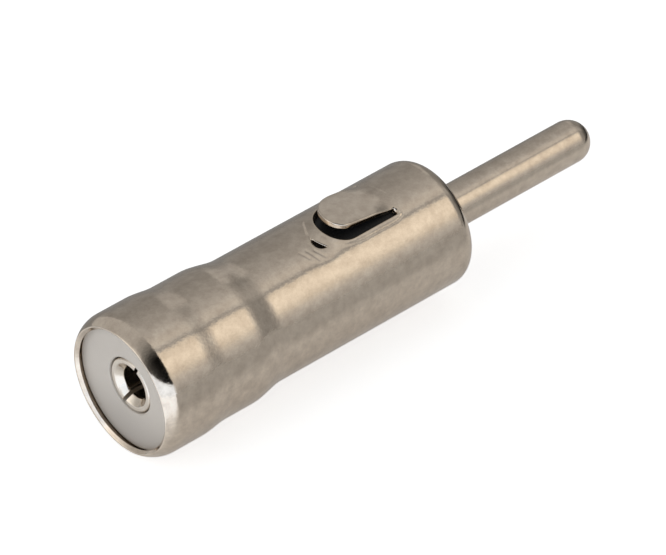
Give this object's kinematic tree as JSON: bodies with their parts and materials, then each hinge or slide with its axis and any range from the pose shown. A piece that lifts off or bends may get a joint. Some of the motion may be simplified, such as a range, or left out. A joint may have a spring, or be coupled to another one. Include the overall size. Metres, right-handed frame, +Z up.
{
  "type": "car antenna adapter",
  "caption": "Stepped metal adapter with a slotted socket contact in a plastic disc at one end, and a round-tipped plug pin and a sprung tongue at the other.",
  "frame": {"origin": "under the middle of the overall length, on the surface that the adapter lies on", "axes": "+X along the axis towards the plug pin's tip, +Z up through the middle of the spring tongue"},
  "size_m": [0.0434, 0.0108, 0.0108],
  "materials": {
    "shell_plate": "satin nickel plate on drawn sheet",
    "pale_plastic": "satin moulded",
    "contact_plate": "bright nickel plate on turned brass",
    "dark_plastic": "matte moulded",
    "pin_plate": "satin nickel plate on turned brass"
  },
  "bodies": {
    "root": {"shell": "shell_plate", "front_insulator": "pale_plastic", "socket_contact": "contact_plate", "rear_insulator": "dark_plastic", "plug_pin": "pin_plate"}
  },
  "joints": []
}
